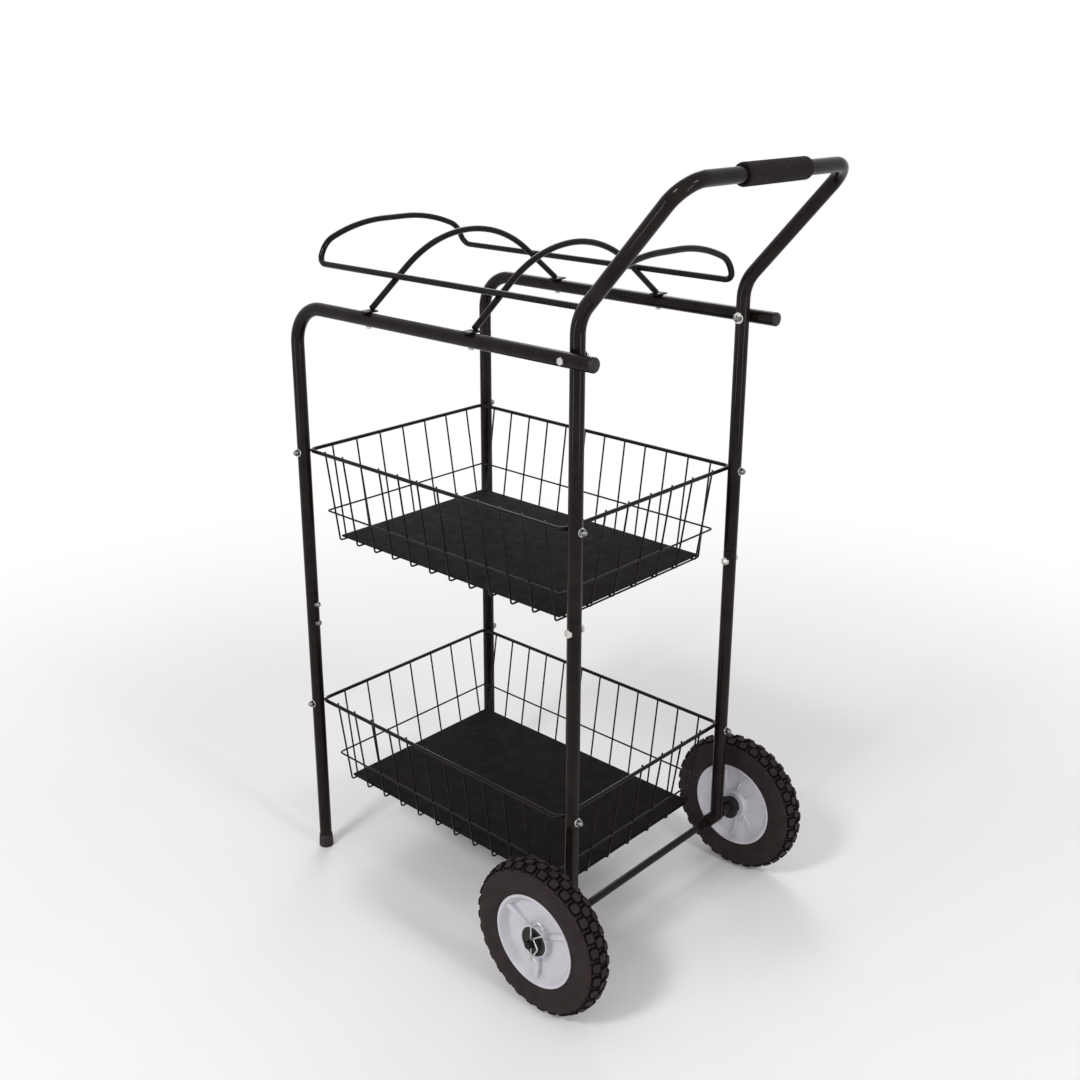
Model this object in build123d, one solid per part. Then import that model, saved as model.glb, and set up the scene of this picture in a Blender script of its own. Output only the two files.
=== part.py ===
from build123d import *

import math
import os

# Frame tubes
tube_d = 22.2
tube_wall = 1.5
tube_sides = 12
bore_sides = 8
slip_gap = 0.15
leg_spacing = 598.0
upright_half = 198.0
rail_z = 1032.0
rail_overhang = 48.0
side_bend_r = 65.0
upright_joint_z = 640.0
leg_joint_z = 520.0
upright_insert = 60.0
leg_insert = 80.0
shoulder = 2.0
stub_reach = 30.0
bend_step = 30.0
bend_chord = 60.0

# Handle
handle_reach = 171.0
handle_z = 1278.5
hoop_bend_z = 1086.5
hoop_bend_r = 65.0
handle_corner_r = 42.0
grip_d = 32.0
grip_length = 166.0
grip_chamfer = 2.0
grip_sides = 16

# Feet and plugs
cap_top_d = 24.0
cap_base_d = 26.6
cap_edge = 2.0
cap_height = 25.0
cap_floor = 4.0
plug_rim = 1.0
plug_crown = 4.0
plug_top_r = 7.8
plug_depth = 14.0

# Wheels and axle
wheel_sides = 20
wheel_d = 254.0
wheel_half = 266.0
tyre_half = 22.5
tyre_bulge_r = 98.0
tread_edge = (120.0, 20.5)
tread_mid = (125.2, 11.5)
tyre_foot = (78.5, 20.0)
seat_gap = 0.1
hub_r = 77.5
hub_half = 20.5
barrel_r = 73.0
lip_t = 3.0
lip_w = 4.0
dish = (64.0, 6.0)
back_dish = (66.0, -12.0)
boss_r = 28.0
boss_draft = 1.5
boss_step = 1.0
rib_count = 3
rib_turn = 30.0
rib_half = 5.0
rib_draft = 25.0
rib_from = (20.0, 9.0)
rib_to = (71.5, 16.0)
rib_root = 4.0
bushing_r = 24.0
bushing_half = 20.0
axle_d = 12.7
axle_sides = 16
axle_half = 300.0
axle_play = 0.1
side_play = 0.4
axle_washer_d = 27.0
axle_washer_t = 1.6
spacer_d = 19.0
ring_sides = 12
ring_bore_r = 6.8
clip_wire = 3.0
clip_hole = 3.4
clip_half = 290.5
clip_loop = [(0, -32), (0, 30), (1.5, 38), (8, 43), (17, 43), (24.5, 38), (25, 29), (18, 20.5)]
clip_spring = [(4.6, 10.5), (13.4, -4), (3.8, -22), (15.5, -29.5)]

# Baskets
basket_rims_z = {"lower": 303.0, "upper": 779.5}
rim_rod = 6.5
rim_sides = 8
wire_rod = 3.2
rim_half = 209.0
rim_corner_r = 14.0
basket_depth = 163.0
side_inset = 23.5
end_inset = 26.0
cross_wires = 12
cross_pitch = 46.1
long_wires = 7
long_pitch = 54.0
wire_tip = 0.5
weld = 0.3
wire_gap = 0.1
band_drop = 110.0
band_gap = 0.35
liner_t = 2.5
liner_gap = 4.0
liner_chamfer = 3.0

# Saddle rack
rack_rod = 10.0
rack_sides = 8
rack_arm_half = 167.0
rack_arm_z = 1094.0
rack_shoulder = (152.0, 1128.0)
rack_crown = (80.0, 1156.0)
rack_bend_r = [16.0, 44.0, 300.0]
rib_setback = 185.0
rib_apex_z = 1210.8
rib_crown_r = 230.0
rib_foot_half = 213.0
foot_t = 3.0
foot_half = 9.0
foot_reach = 13.0

# Fasteners
bolt_d = 6.0
bolt_hole = 6.6
bolt_head_h = 4.2
bolt_across = 10.0
nut_h = 5.0
dome_h = 4.0
dome_r = 2.9
thread_gap = 0.2
thread_end = 1.0
rod_seat = 1.0
corner_seat = 6.0
washer_sides = 8
rail_washer_d = 18.0
basket_washer_d = 14.0
plate_washer_t = 1.4
upright_bolt_z = 622.0
leg_bolts_z = (499.0, 463.5)
screw_d = 5.0
screw_hole = 5.4
screw_across = 8.0
screw_head_h = 3.0

tube_r = tube_d / 2
bore_r = tube_r - tube_wall
insert_r = bore_r - slip_gap / math.cos(math.pi / bore_sides)
rail_half = upright_half + tube_d
axle_z = wheel_d / 2
upright_x = (leg_spacing + tube_r + bolt_head_h - handle_reach - grip_d / 2) / 2
leg_x = upright_x - leg_spacing
handle_x = upright_x + handle_reach
rim_x = (leg_spacing - tube_r - rim_rod / 2) / 2
basket_x = upright_x - tube_r - rim_rod / 2 - rim_x
wire_inside = (rim_rod + wire_rod) / 2 - weld
rib_places = (upright_x - rib_setback, leg_x + rib_setback)
spacer_start = upright_half + tube_r + side_play
spacer_end = wheel_half - bushing_half - side_play
hex_corner = 1 / math.cos(math.pi / 6)
sides = {"left": -1, "right": 1}


def bent(points, radii):
    route = [Vector(points[0])]
    for before, corner, after, radius in zip(points, points[1:], points[2:], radii):
        corner = Vector(corner)
        u = (Vector(before) - corner).normalized()
        v = (Vector(after) - corner).normalized()
        half = math.acos(u.dot(v)) / 2
        centre = corner + (u + v).normalized() * (radius / math.sin(half))
        start = corner + u * (radius / math.tan(half)) - centre
        end = corner + v * (radius / math.tan(half)) - centre
        turn = math.pi - 2 * half
        steps = max(math.ceil(math.degrees(turn) / bend_step), math.ceil(turn * radius / bend_chord))
        for k in range(steps + 1):
            a = turn * k / steps
            spoke = start * math.sin(turn - a) + end * math.sin(a)
            route.append(centre + spoke * (1 / math.sin(turn)))
    return [*route, Vector(points[-1])]


def swept(section, route):
    path = Polyline(*route)
    start = Plane(origin=path @ 0, z_dir=path % 0)
    return sweep(start * section, path=path, transition=Transition.RIGHT)


def tube(points, radii=()):
    ring = RegularPolygon(tube_r, tube_sides) - RegularPolygon(bore_r, bore_sides)
    return swept(ring, bent(points, radii) if radii else points)


def turned(x, y, z, toward, shape):
    return Plane(origin=(x, y, z), z_dir=toward) * shape


def bored(radius, start, end):
    return prism(radius / math.cos(math.pi / ring_sides), ring_sides, start, end)


def prism(radius, count, start, end):
    return Pos(0, 0, start) * extrude(RegularPolygon(radius, count), end - start)


def taper(count, *stations):
    turns = [2 * math.pi * k / count for k in range(count)]
    rings = [[Vector(r * math.cos(a), r * math.sin(a), z) for a in turns] for r, z in stations]
    faces = [Face(Wire.make_polygon(rings[0])), Face(Wire.make_polygon(rings[-1]))]
    for low, high in zip(rings, rings[1:]):
        for k in range(count):
            faces.append(Face(Wire.make_polygon([low[k - 1], low[k], high[k], high[k - 1]])))
    return Solid(Shell(faces))


def hexagon(across, start, end):
    return Pos(0, 0, start) * extrude(RegularPolygon(across / 2, 6, major_radius=False), end - start)


def hole(x, y, z, toward, across=bolt_hole):
    return turned(x, y, z, toward, hexagon(across, -tube_d, tube_d))


def swaged_end(insert):
    body = prism(tube_r, tube_sides, 0, shoulder) + prism(insert_r, bore_sides, -insert, 0)
    return body - prism(insert_r - tube_wall, bore_sides, -insert, shoulder)


# Frame tubes
def handle_hoop():
    half_route = [(upright_x, upright_joint_z), (upright_x, hoop_bend_z), (handle_x, handle_z)]
    left = [(x, -upright_half, z) for x, z in half_route]
    right = [(x, upright_half, z) for x, z in reversed(half_route)]
    hoop = tube(left + right, [hoop_bend_r, handle_corner_r, handle_corner_r, hoop_bend_r])
    for s in (-1, 1):
        y = s * upright_half
        hoop += Pos(upright_x, y, upright_joint_z) * swaged_end(upright_insert)
        hoop -= hole(upright_x, y, rail_z, (0, 1, 0))
        hoop -= hole(upright_x, y, upright_bolt_z, (0, 1, 0))
        hoop -= hole(upright_x, y, basket_rims_z["upper"], (1, 0, 0))
    return hoop


def lower_upright(s):
    y = s * upright_half
    elbow = (upright_x, y, axle_z)
    body = tube([(upright_x, y, upright_joint_z), elbow, (upright_x, y - s * stub_reach, axle_z)])
    body -= hole(upright_x, y, upright_bolt_z, (0, 1, 0))
    body -= hole(upright_x, y, basket_rims_z["lower"], (1, 0, 0))
    return body - turned(*elbow, (0, s, 0), bored(axle_d / 2 + axle_play, 0, tube_d))


def side_tube(s):
    y = s * rail_half
    route = [(leg_x, y, leg_joint_z), (leg_x, y, rail_z), (upright_x + rail_overhang, y, rail_z)]
    body = tube(route, [side_bend_r])
    body += Pos(leg_x, y, leg_joint_z) * swaged_end(leg_insert)
    body -= hole(upright_x, y, rail_z, (0, 1, 0))
    body -= hole(leg_x, y, basket_rims_z["upper"], (0, 1, 0))
    for z in leg_bolts_z:
        body -= hole(leg_x, y, z, (1, 0, 0))
    for x in rib_places:
        body -= hole(x, y, rail_z, (0, 0, 1), screw_hole)
    return body


def lower_leg(s):
    y = s * rail_half
    body = tube([(leg_x, y, leg_joint_z), (leg_x, y, cap_floor)])
    body -= hole(leg_x, y, basket_rims_z["lower"], (0, 1, 0))
    for z in leg_bolts_z:
        body -= hole(leg_x, y, z, (1, 0, 0))
    return body


def foam_grip():
    end, flat = grip_length / 2, grip_length / 2 - grip_chamfer
    wide, narrow = grip_d / 2, grip_d / 2 - grip_chamfer
    body = taper(grip_sides, (narrow, -end), (wide, -flat), (wide, flat), (narrow, end))
    bore = (tube_r + slip_gap) / math.cos(math.pi / tube_sides)
    return turned(handle_x, 0, handle_z, (0, 1, 0), body - prism(bore, tube_sides, -end, end))


def foot_cap():
    base_r, top_r = cap_base_d / 2, cap_top_d / 2
    body = taper(tube_sides, (base_r - cap_edge, 0), (base_r, cap_edge), (top_r, cap_height))
    return body - prism(tube_r + slip_gap, tube_sides, cap_floor, cap_height)


def rail_plug():
    crown = taper(tube_sides, (tube_r, 0), (tube_r, plug_rim), (plug_top_r, plug_crown))
    return crown + prism(insert_r, bore_sides, -plug_depth, 0)


# Wheels, with local Z along the axle and pointing outwards
def wheel_hub():
    lip_in = hub_r - lip_w
    body = prism(barrel_r, wheel_sides, -hub_half, hub_half)
    body += prism(hub_r, wheel_sides, hub_half - lip_t, hub_half)
    body += prism(hub_r, wheel_sides, -hub_half, lip_t - hub_half)
    body -= taper(wheel_sides, dish, (lip_in, hub_half))
    body -= taper(wheel_sides, (lip_in, -hub_half), back_dish)
    boss_top = (boss_r - boss_draft, hub_half - boss_step)
    body += taper(wheel_sides, (boss_r, dish[1]), boss_top)
    body += taper(wheel_sides, (boss_top[0], -boss_top[1]), (boss_r, back_dish[1]))
    root = dish[1] - rib_root
    side = Polyline((rib_from[0], root), (rib_to[0], root), rib_to, rib_from, close=True)
    rib = extrude(Plane.XZ * make_face(side), rib_half, both=True, taper=rib_draft)
    for k in range(rib_count):
        body += Rot(0, 0, rib_turn + 360 * k / rib_count) * rib
    return body - prism(bushing_r, wheel_sides, -hub_half, hub_half)


def tyre():
    crown = (wheel_d / 2, 0)
    near = [(tyre_bulge_r, -tyre_half), (tread_edge[0], -tread_edge[1]), (tread_mid[0], -tread_mid[1])]
    body = taper(wheel_sides, *near, crown, *[(r, -z) for r, z in reversed(near)])
    body -= taper(wheel_sides, tyre_foot, (tyre_bulge_r, tyre_half))
    body -= taper(wheel_sides, (tyre_bulge_r, -tyre_half), (tyre_foot[0], -tyre_foot[1]))
    bead = hub_half - lip_t
    for start, end in ((-tyre_half, -bead), (bead, tyre_half)):
        body -= prism(hub_r + seat_gap, wheel_sides, start, end)
    return body - prism(barrel_r, wheel_sides, -bead, bead)


def hub_bushing():
    body = prism(bushing_r, wheel_sides, -bushing_half, bushing_half)
    return body - bored((axle_d + axle_play) / 2, -bushing_half, bushing_half)


def axle():
    bar = turned(upright_x, 0, axle_z, (0, 1, 0), prism(axle_d / 2, axle_sides, -axle_half, axle_half))
    for s in (-1, 1):
        bar -= hole(upright_x, s * clip_half, axle_z, (0, 0, 1), clip_hole)
    return bar


def axle_spacer():
    length = spacer_end - spacer_start
    return prism(spacer_d / 2, ring_sides, 0, length) - prism(ring_bore_r, ring_sides, 0, length)


def axle_clip(s):
    route = [(upright_x + x, s * clip_half, axle_z + z) for x, z in clip_loop + clip_spring]
    return swept(RegularPolygon(clip_wire / 2, 6), route)


# Baskets: a closed rim, wires bent up from the floor inside it, and a band part way down
def ring(half_x, half_y, z, section, radii):
    points = [(half_x, 0, z), (half_x, half_y, z), (-half_x, half_y, z), (-half_x, 0, z)]
    half = swept(section, bent(points, radii) if radii else points)
    return half + mirror(half, Plane.XZ)


def u_wire(half_top, inset, depth):
    slope = inset / basket_depth
    tip = rim_rod / 2 + wire_tip
    foot, top = half_top - slope * depth, half_top + slope * tip
    return [(-top, tip), (-foot, -depth), (foot, -depth), (top, tip)]


def basket_rim():
    return ring(rim_x, rim_half, 0, RegularPolygon(rim_rod / 2, rim_sides), [rim_corner_r, rim_corner_r])


def basket():
    wire = Rectangle(wire_rod, wire_rod)
    top_x, top_y = rim_x - wire_inside, rim_half - wire_inside
    pieces = []
    for k in range(cross_wires):
        x = (k - (cross_wires - 1) / 2) * cross_pitch
        pieces.append(swept(wire, [(x, y, z) for y, z in u_wire(top_y, side_inset, basket_depth)]))
    long_depth = basket_depth - wire_rod - wire_gap
    for k in range(long_wires):
        y = (k - (long_wires - 1) / 2) * long_pitch
        pieces.append(swept(wire, [(x, y, z) for x, z in u_wire(top_x, end_inset, long_depth)]))
    share = band_drop / basket_depth
    band_x = top_x - share * end_inset + wire_rod - weld
    band_y = top_y - share * side_inset + wire_rod + band_gap
    pieces.append(ring(band_x, band_y, -band_drop, wire, ()))
    return basket_rim().fuse(*pieces)


def liner():
    floor_x = rim_x - wire_inside - end_inset - liner_gap
    floor_y = rim_half - wire_inside - side_inset - liner_gap
    sheet = Box(2 * floor_x, 2 * floor_y, liner_t)
    sheet = chamfer(sheet.edges().filter_by(Axis.Z), liner_chamfer)
    floor_z = wire_rod + wire_gap + wire_rod / 2 - basket_depth
    return Pos(0, 0, floor_z + wire_gap + liner_t / 2) * sheet


# Saddle rack: a rod frame with an arch at each end, and two ribs that stand on the rails
def saddle_rack():
    rod = RegularPolygon(rack_rod / 2, rack_sides)
    middle_x = (upright_x + leg_x) / 2
    corners = [(rack_arm_half, rack_arm_z), rack_shoulder, rack_crown]
    halves = []
    for end_x in (upright_x, leg_x):
        arch = [(end_x, -y, z) for y, z in corners] + [(end_x, y, z) for y, z in reversed(corners)]
        route = [(middle_x, -rack_arm_half, rack_arm_z), *arch, (middle_x, rack_arm_half, rack_arm_z)]
        halves.append(swept(rod, bent(route, [*rack_bend_r, *reversed(rack_bend_r)])))
    body = halves[0] + halves[1]
    rail_top = rail_z + tube_r
    foot_z = rail_top + rack_rod / 2
    for x in rib_places:
        route = [(x, -rib_foot_half, foot_z), (x, 0, rib_apex_z), (x, rib_foot_half, foot_z)]
        rib = swept(rod, bent(route, [rib_crown_r]))
        below = Pos(x, 0, rail_top - rack_rod / 2) * Box(2 * rack_rod, 3 * rail_half, rack_rod)
        body += rib - below
        for s in (-1, 1):
            foot = Pos(x, s * rail_half, rail_top + foot_t / 2) * Box(2 * foot_half, 2 * foot_reach, foot_t)
            body += foot
            body -= hole(x, s * rail_half, rail_top, (0, 0, 1), screw_hole)
    return body


# Fasteners, with local Z from the head into the work
def stud(grip):
    return hexagon(bolt_d, 0, grip + nut_h - thread_end)


def bolt(grip):
    return hexagon(bolt_across, -bolt_head_h, 0) + stud(grip)


def cap_nut():
    corner = bolt_across / 2 * hex_corner
    body = taper(6, (corner, 0), (corner, nut_h), (dome_r, nut_h + dome_h))
    return body - hexagon(bolt_d + thread_gap, 0, nut_h)


def washer(diameter):
    return prism(diameter / 2, washer_sides, 0, plate_washer_t) - hexagon(bolt_hole, 0, plate_washer_t)


def rack_screw():
    return hexagon(screw_across, -screw_head_h, 0) + hexagon(screw_d, 0, tube_d + foot_t)


def seats(kind):
    rows = []
    for s in (-1, 1):
        if kind == "rail":
            rows.append(((upright_x, s * (rail_half + tube_r), rail_z), (0, -s, 0), 2 * tube_d))
        if kind == "upright":
            rows.append(((upright_x, s * (upright_half + tube_r), upright_bolt_z), (0, -s, 0), tube_d))
        if kind == "leg":
            rows += [((leg_x - tube_r, s * rail_half, z), (1, 0, 0), tube_d) for z in leg_bolts_z]
        if kind == "basket":
            for z in basket_rims_z.values():
                place = (upright_x - tube_r - rod_seat, s * upright_half, z)
                rows.append((place, (1, 0, 0), rod_seat + tube_d))
                place = (leg_x, s * (rail_half - tube_r - corner_seat), z)
                rows.append((place, (0, s, 0), corner_seat + tube_d))
    return rows


def fastener_set(kind, shank, washer_d=0.0):
    shanks, nuts, washers = [], [], []
    pad = plate_washer_t if washer_d else 0.0
    for place, toward, grip in seats(kind):
        shanks.append(turned(*place, toward, shank(grip + pad)))
        nuts.append(turned(*place, toward, Pos(0, 0, grip + pad) * cap_nut()))
        if washer_d:
            washers.append(turned(*place, toward, Pos(0, 0, grip) * washer(washer_d)))
    save(f"{kind}_nuts", nuts)
    if washer_d:
        save(f"{kind}_washers", washers)
    return shanks


def save(name, shape):
    group = Compound(children=shape) if isinstance(shape, list) else shape
    export_step(group, f"parts/{name}.step")


os.makedirs("parts", exist_ok=True)
save("handle_hoop", handle_hoop())
save("foam_grip", foam_grip())
save("axle", axle())
save("saddle_rack", saddle_rack())
for side, s in sides.items():
    wheel = Plane(origin=(upright_x, s * wheel_half, axle_z), x_dir=(1, 0, 0), z_dir=(0, s, 0))
    save(f"{side}_side_tube", side_tube(s))
    save(f"{side}_lower_leg", lower_leg(s))
    save(f"{side}_lower_upright", lower_upright(s))
    save(f"{side}_foot_cap", Pos(leg_x, s * rail_half, 0) * foot_cap())
    rail_end = (upright_x + rail_overhang, s * rail_half, rail_z)
    save(f"{side}_rail_plug", turned(*rail_end, (1, 0, 0), rail_plug()))
    save(f"{side}_wheel_hub", wheel * wheel_hub())
    save(f"{side}_tyre", wheel * tyre())
    save(f"{side}_hub_bushing", wheel * hub_bushing())
    save(f"{side}_axle_spacer", turned(upright_x, s * spacer_start, axle_z, (0, s, 0), axle_spacer()))
    save(f"{side}_axle_clip", axle_clip(s))
axle_washer = prism(axle_washer_d / 2, ring_sides, 0, axle_washer_t)
axle_washer -= prism(ring_bore_r, ring_sides, 0, axle_washer_t)
washer_half = wheel_half + bushing_half + side_play
save("axle_washers", [turned(upright_x, s * washer_half, axle_z, (0, s, 0), axle_washer) for s in (-1, 1)])
for level, z in basket_rims_z.items():
    save(f"{level}_basket", Pos(basket_x, 0, z) * basket())
    save(f"{level}_basket_liner", Pos(basket_x, 0, z) * liner())
save("rail_bolts", fastener_set("rail", bolt, rail_washer_d))
save("upright_bolts", fastener_set("upright", bolt))
save("leg_bolts", fastener_set("leg", bolt))
rims = [Pos(basket_x, 0, z) * basket_rim() for z in basket_rims_z.values()]
save("basket_bolts", [shank - rims for shank in fastener_set("basket", stud, basket_washer_d)])
screw_places = [(x, s * rail_half, rail_z - tube_r) for x in rib_places for s in (-1, 1)]
save("rack_screws", [Pos(*place) * rack_screw() for place in screw_places])
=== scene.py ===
import math

import bpy
from mathutils import Matrix, Vector


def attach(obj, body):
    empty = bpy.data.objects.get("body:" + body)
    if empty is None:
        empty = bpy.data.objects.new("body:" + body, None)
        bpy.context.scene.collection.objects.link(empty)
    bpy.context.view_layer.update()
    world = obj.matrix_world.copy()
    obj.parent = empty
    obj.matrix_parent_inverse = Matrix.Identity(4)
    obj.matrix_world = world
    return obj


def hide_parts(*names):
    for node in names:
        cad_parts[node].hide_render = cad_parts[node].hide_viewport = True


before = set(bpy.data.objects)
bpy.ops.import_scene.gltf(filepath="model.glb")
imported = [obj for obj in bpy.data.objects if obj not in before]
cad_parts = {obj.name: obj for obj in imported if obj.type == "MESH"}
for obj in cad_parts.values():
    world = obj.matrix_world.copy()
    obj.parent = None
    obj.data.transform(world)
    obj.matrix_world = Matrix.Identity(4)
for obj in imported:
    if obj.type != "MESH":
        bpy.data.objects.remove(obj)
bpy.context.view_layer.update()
print("frame loaded:", len(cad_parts), "nodes")

# the cart's main places, in metres: left is -Y, the handle is at +X
cart = {
    "uprightX": 0.21315, "legX": -0.38485, "handleX": 0.38415,
    "uprightY": 0.198, "railY": 0.2202, "railZ": 1.032, "axleZ": 0.127,
    "tubeR": 0.0111, "tubeFacets": 32,
}
sides = {"left": -1, "right": 1}


# working helpers
def deselectAll():
    if bpy.context.mode != "OBJECT":
        bpy.ops.object.mode_set(mode="OBJECT")
    bpy.ops.object.select_all(action="DESELECT")


def pick(*pieces):
    deselectAll()
    for piece in pieces:
        piece.select_set(True)
    bpy.context.view_layer.objects.active = pieces[0]


def editAll(piece):
    pick(piece)
    bpy.ops.object.mode_set(mode="EDIT")
    bpy.ops.mesh.select_all(action="SELECT")


def backToObject():
    bpy.ops.object.mode_set(mode="OBJECT")
    return bpy.context.view_layer.objects.active


def joined(name, parts):
    pick(*parts)
    if len(parts) > 1:
        bpy.ops.object.join()
    whole = bpy.context.view_layer.objects.active
    whole.name = whole.data.name = name
    return whole


def copied(piece, spot):
    twin = piece.copy()
    twin.data = piece.data.copy()
    bpy.context.scene.collection.objects.link(twin)
    return moved(twin, spot)


def moved(piece, spot):
    piece.matrix_world = spot @ piece.matrix_world
    pick(piece)
    bpy.ops.object.transform_apply(location=True, rotation=True, scale=True)
    return piece


def spotAt(place, toward):
    return Matrix.Translation(place) @ Vector(toward).to_track_quat("Z", "Y").to_matrix().to_4x4()


def softened(piece, width, segments=2, angle=50):
    pick(piece)
    bevel = piece.modifiers.new("edges", "BEVEL")
    bevel.width, bevel.segments = width, segments
    bevel.limit_method, bevel.angle_limit = "ANGLE", math.radians(angle)
    bpy.ops.object.modifier_apply(modifier=bevel.name)
    return smoothed(piece)


# faces and edges without any size are taken out
def cleaned(piece):
    editAll(piece)
    bpy.ops.mesh.dissolve_degenerate(threshold=2e-6)
    return backToObject()


def smoothed(piece, angle=40):
    pick(piece)
    bpy.ops.object.shade_smooth_by_angle(angle=math.radians(angle))
    return piece


# leaves the piece in edit mode with only the chosen vertices selected
def pickVertices(piece, chosen):
    editAll(piece)
    bpy.ops.mesh.select_all(action="DESELECT")
    backToObject()
    for vertex in piece.data.vertices:
        vertex.select = chosen(vertex.co)
    bpy.ops.object.mode_set(mode="EDIT")


def dressed(piece, finish, body, *nodes):
    if not piece.data.materials:
        piece.data.materials.append(finishes[finish])
    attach(piece, body)
    if nodes:
        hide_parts(*nodes)
    return piece


# a ring is extruded along each run and spun round each bend
def bentBar(name, route, bends, radius, facets=12, closed=False, bendSteps=8):
    stops = [Vector(p) for p in route]
    here, heading = stops[0], (stops[1] - stops[0]).normalized()
    deselectAll()
    bpy.ops.mesh.primitive_circle_add(vertices=facets, radius=radius, location=here,
                                      rotation=heading.to_track_quat("Z", "Y").to_euler())
    bar = bpy.context.view_layer.objects.active
    bar.name = name
    bpy.ops.object.transform_apply(location=True, rotation=True, scale=True)
    editAll(bar)
    for corner, after, bend in zip(stops[1:-1], stops[2:], bends):
        leaving = (after - corner).normalized()
        turn = heading.angle(leaving)
        reach = bend * math.tan(turn / 2)
        bendStart = corner - heading * reach
        if (bendStart - here).length > 1e-6:
            bpy.ops.mesh.extrude_region_move(TRANSFORM_OT_translate={"value": bendStart - here})
        axis = heading.cross(leaving).normalized()
        bpy.ops.mesh.spin(steps=bendSteps, angle=-turn, axis=axis,
                          center=bendStart + axis.cross(heading) * bend)
        here, heading = corner + leaving * reach, leaving
    bpy.ops.mesh.extrude_region_move(TRANSFORM_OT_translate={"value": stops[-1] - here})
    bpy.ops.mesh.select_all(action="SELECT")
    if closed:
        bpy.ops.mesh.remove_doubles(threshold=1e-5)
    else:
        bpy.ops.mesh.fill_holes(sides=0)
        bpy.ops.mesh.select_all(action="SELECT")
    bpy.ops.mesh.normals_make_consistent(inside=False)
    return smoothed(backToObject())


# a ring is extruded and scaled along a profile of (radius, height), its axis along Z
def turnedPiece(name, profile, facets=48, closed=False):
    deselectAll()
    radius, height = profile[0]
    bpy.ops.mesh.primitive_circle_add(vertices=facets, radius=radius, location=(0, 0, height))
    piece = bpy.context.view_layer.objects.active
    piece.name = name
    bpy.ops.object.transform_apply(location=True, rotation=True, scale=True)
    editAll(piece)
    for nextRadius, nextHeight in profile[1:] + (profile[:1] if closed else []):
        bpy.ops.mesh.extrude_region_move(TRANSFORM_OT_translate={"value": (0, 0, nextHeight - height)})
        grow = nextRadius / radius
        bpy.ops.transform.resize(value=(grow, grow, 1), center_override=(0, 0, nextHeight))
        radius, height = nextRadius, nextHeight
    bpy.ops.mesh.select_all(action="SELECT")
    bpy.ops.mesh.remove_doubles(threshold=1e-6)
    if not closed:
        bpy.ops.mesh.select_all(action="SELECT")
        bpy.ops.mesh.fill_holes(sides=0)
    bpy.ops.mesh.select_all(action="SELECT")
    bpy.ops.mesh.normals_make_consistent(inside=False)
    return smoothed(backToObject())


def plainBox(name, size, place=(0, 0, 0)):
    deselectAll()
    bpy.ops.mesh.primitive_cube_add(size=1, location=place, scale=size)
    box = bpy.context.view_layer.objects.active
    box.name = name
    bpy.ops.object.transform_apply(location=True, rotation=True, scale=True)
    return box


# a box with all its edges rounded
def block(name, size, place, edge):
    editAll(plainBox(name, size, place))
    bpy.ops.mesh.bevel(offset=edge, segments=2, affect="EDGES")
    return smoothed(backToObject(), angle=50)


# a box whose four edges along one axis are rounded
def roundedBlock(name, size, axis, corner, segments=2):
    piece = plainBox(name, size)
    editAll(piece)
    bpy.ops.mesh.select_mode(type="EDGE")
    bpy.ops.mesh.select_all(action="DESELECT")
    backToObject()
    for edge in piece.data.edges:
        ends = [piece.data.vertices[v].co for v in edge.vertices]
        edge.select = abs(ends[0][axis] - ends[1][axis]) > size[axis] / 2
    bpy.ops.object.mode_set(mode="EDIT")
    bpy.ops.mesh.bevel(offset=corner, segments=segments, affect="EDGES")
    bpy.ops.mesh.select_mode(type="VERT")
    return backToObject()


# finishes
def newFinish(name):
    finish = bpy.data.materials.new(name)
    finish.use_nodes = True
    nodes, links = finish.node_tree.nodes, finish.node_tree.links
    shader = nodes["Principled BSDF"]
    place = nodes.new("ShaderNodeTexCoord").outputs["Object"]
    return finish, nodes, links, shader, place


def grain(nodes, links, place, scale, detail=3.0, roughness=0.5):
    noise = nodes.new("ShaderNodeTexNoise")
    noise.inputs["Scale"].default_value = scale
    noise.inputs["Detail"].default_value = detail
    noise.inputs["Roughness"].default_value = roughness
    links.new(place, noise.inputs["Vector"])
    return noise.outputs["Fac"]


def ramped(nodes, links, value, *stops):
    ramp = nodes.new("ShaderNodeValToRGB")
    while len(ramp.color_ramp.elements) < len(stops):
        ramp.color_ramp.elements.new(0.5)
    for element, (position, colour) in zip(ramp.color_ramp.elements, stops):
        element.position = position
        element.color = (*colour, 1) if isinstance(colour, tuple) else (colour, colour, colour, 1)
    links.new(value, ramp.inputs["Fac"])
    return ramp.outputs["Color"]


def bumped(nodes, links, shader, value, strength, distance):
    bump = nodes.new("ShaderNodeBump")
    bump.inputs["Strength"].default_value = strength
    bump.inputs["Distance"].default_value = distance
    links.new(value, bump.inputs["Height"])
    links.new(bump.outputs["Normal"], shader.inputs["Normal"])


mottle = {"detail": 4.0, "roughness": 0.6, "darkBelow": 0.35, "lightAbove": 0.68,
          "smoothBelow": 0.3, "roughAbove": 0.7, "bumpDetail": 2.0}


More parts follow.
